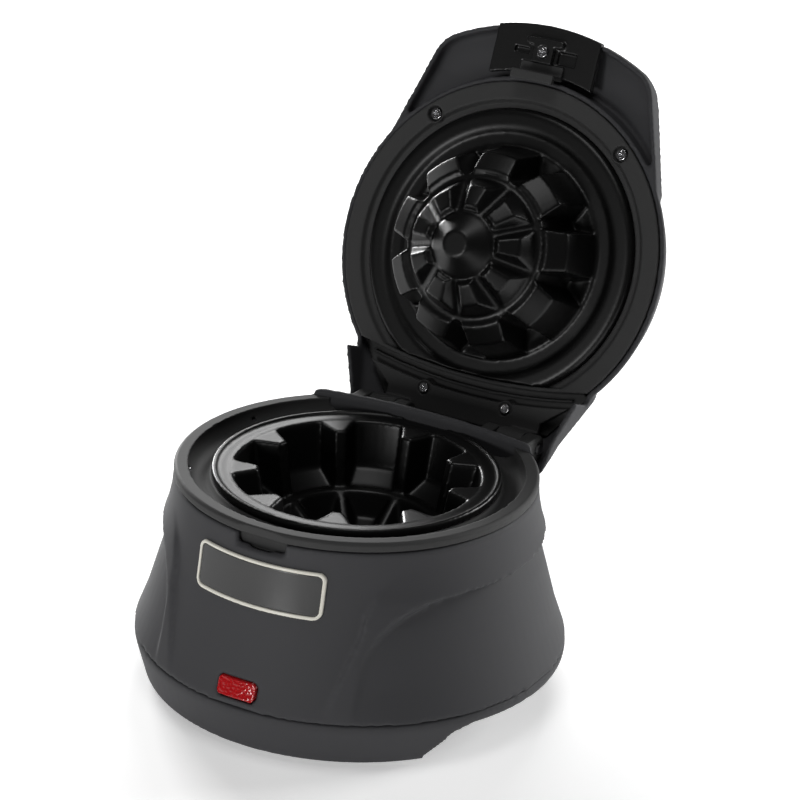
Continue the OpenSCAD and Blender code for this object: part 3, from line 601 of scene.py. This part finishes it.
class TrimOperator(bpy.types.Operator):
    """Blank badge and indicator lens on the front"""

    bl_idname = "waffle_maker.trim"
    bl_label = "Badge and lens"

    def execute(self, context):
        mould("badge_frame", "badge_surround", shape().trim_grid, passes=3)
        mould("badge_panel", "badge_blank", shape().trim_grid, passes=3)
        lens = mould("indicator_lens", "lamp_window", shape().trim_grid, passes=3)
        pebbles = bpy.data.textures.new("pebbles", "VORONOI")
        pebbles.noise_scale = shape().pebble_size
        finish_with(lens, "DISPLACE", texture=pebbles, strength=-shape().pebble_height, mid_level=0.0,
                    texture_coords="LOCAL")
        return {"FINISHED"}


class InnerPartsOperator(bpy.types.Operator):
    """Finishes of the CAD parts that are shown as they are, most of them inside"""

    bl_idname = "waffle_maker.inner_parts"
    bl_label = "Inner parts"

    def execute(self, context):
        for node, source in frame["nodes"].items():
            if not source.hide_render:
                source.data.materials.clear()
                source.data.materials.append(material_of(slot_of(node)))
        return {"FINISHED"}


class StageOperator(bpy.types.Operator):
    """Pale floor, soft studio lights and the camera"""

    bl_idname = "waffle_maker.stage"
    bl_label = "Stage"

    def execute(self, context):
        self.add_floor(context.scene.waffle_stage)
        self.add_lights(context.scene.waffle_stage)
        self.add_camera(context)
        return {"FINISHED"}

    def add_floor(self, stage):
        bpy.ops.object.select_all(action="DESELECT")
        bpy.ops.mesh.primitive_circle_add(vertices=96, radius=stage.floor_radius, fill_type="NGON")
        floor = bpy.context.object
        floor.name = "floor"
        material, nodes, shader = new_material("floor_paper")
        mottle = nodes.remap(nodes.noise(0.3), 0.3, 0.7, 0.0, 1.0)
        nodes.feed(shader.inputs["Base Color"],
                   nodes.mix_colour(mottle, (0.90, 0.90, 0.90, 1), (0.93, 0.93, 0.93, 1)))
        shader.inputs["Roughness"].default_value = 0.6
        shader.inputs["Emission Color"].default_value = (1, 1, 1, 1)
        shader.inputs["Emission Strength"].default_value = stage.floor_glow
        floor.data.materials.append(material)

    def add_lights(self, stage):
        world = bpy.data.worlds.new("studio")
        bpy.context.scene.world = world
        world.use_nodes = True
        background = world.node_tree.nodes["Background"]
        background.inputs["Color"].default_value = (1, 1, 1, 1)
        # the backdrop looks white, but lights the room only a little
        nodes = Nodes(world.node_tree)
        seen = nodes.add("ShaderNodeLightPath").outputs["Is Camera Ray"]
        nodes.feed(background.inputs["Strength"], nodes.remap(seen, 0.0, 1.0, stage.room_light, 1.0))
        # each softbox: azimuth from the front, elevation, distance, width, height, brightness
        self.add_softbox("front_left", -9, 6, 2.4, 0.4, 0.6, 17)
        self.add_softbox("back_left", -126, 12, 2.2, 0.7, 0.9, 26)
        self.add_softbox("back_right", 142, 18, 2.2, 0.8, 0.8, 15)
        self.add_softbox("behind", -158, 30, 2.4, 1.0, 0.7, 10)
        self.add_softbox("overhead", 10, 78, 1.8, 0.9, 0.9, 2.6)

    def add_softbox(self, name, azimuth, elevation, distance, width, height, brightness):
        light = bpy.data.lights.new(name, "AREA")
        light.shape = "RECTANGLE"
        light.size, light.size_y = width, height
        light.energy = brightness * math.pi * width * height
        softbox = bpy.data.objects.new(name, light)
        bpy.context.scene.collection.objects.link(softbox)
        turn, lift = math.radians(azimuth), math.radians(elevation)
        way = Vector((math.sin(turn) * math.cos(lift), -math.cos(turn) * math.cos(lift), math.sin(lift)))
        softbox.location = drum_centre(RIM_HEIGHT) + way * distance
        softbox.rotation_mode = "QUATERNION"
        softbox.rotation_quaternion = (-way).to_track_quat("-Z", "Y")

    def add_camera(self, context):
        stage = context.scene.waffle_stage
        level, lift = math.cos(stage.elevation), math.sin(stage.elevation)
        back = Vector((math.sin(stage.azimuth) * level, -math.cos(stage.azimuth) * level, lift))
        right = Vector((math.cos(stage.azimuth), math.sin(stage.azimuth), 0))
        up = back.cross(right)
        roll = Matrix.Rotation(stage.roll, 3, back)
        right, up = roll @ right, roll @ up
        camera = bpy.data.objects.new("camera", bpy.data.cameras.new("camera"))
        context.scene.collection.objects.link(camera)
        camera.data.sensor_width = 36
        camera.data.lens = stage.lens
        camera.data.clip_start = 0.05
        camera.data.clip_end = 50
        place = (drum_centre(RIM_HEIGHT) + right * stage.aim_right + up * stage.aim_up
                 + back * stage.distance)
        turn = Matrix((right, up, back)).transposed().to_4x4()
        camera.matrix_world = Matrix.Translation(place) @ turn
        context.scene.camera = camera
        context.scene.view_settings.view_transform = "Standard"


BUILD_ORDER = [
    "housing", "bottom_cover", "rim", "lid", "dome", "hinge", "latch", "screws", "trim",
    "inner_parts", "stage",
]


class WafflePanel(bpy.types.Panel):
    """Lists the pieces in the order they are built"""

    bl_idname = "VIEW3D_PT_waffle_maker"
    bl_label = "Waffle Bowl Maker"
    bl_space_type = "VIEW_3D"
    bl_region_type = "UI"
    bl_category = "Waffle Bowl Maker"

    def draw(self, context):
        for step in BUILD_ORDER:
            self.layout.operator(f"waffle_maker.{step}")


CLASSES = (
    ShapeSettings, FinishSettings, StageSettings, HousingOperator, CoverOperator, RimOperator,
    LidOperator, DomeOperator, HingeOperator, LatchOperator, ScrewsOperator, TrimOperator,
    InnerPartsOperator, StageOperator, WafflePanel,
)


def register():
    for item in CLASSES:
        bpy.utils.register_class(item)
    bpy.types.Scene.waffle_shape = bpy.props.PointerProperty(type=ShapeSettings)
    bpy.types.Scene.waffle_finish = bpy.props.PointerProperty(type=FinishSettings)
    bpy.types.Scene.waffle_stage = bpy.props.PointerProperty(type=StageSettings)


def unregister():
    del bpy.types.Scene.waffle_stage
    del bpy.types.Scene.waffle_finish
    del bpy.types.Scene.waffle_shape
    for item in reversed(CLASSES):
        bpy.utils.unregister_class(item)


def main():
    register()
    for step in BUILD_ORDER:
        getattr(bpy.ops.waffle_maker, step)()


if __name__ == "__main__":
    main()
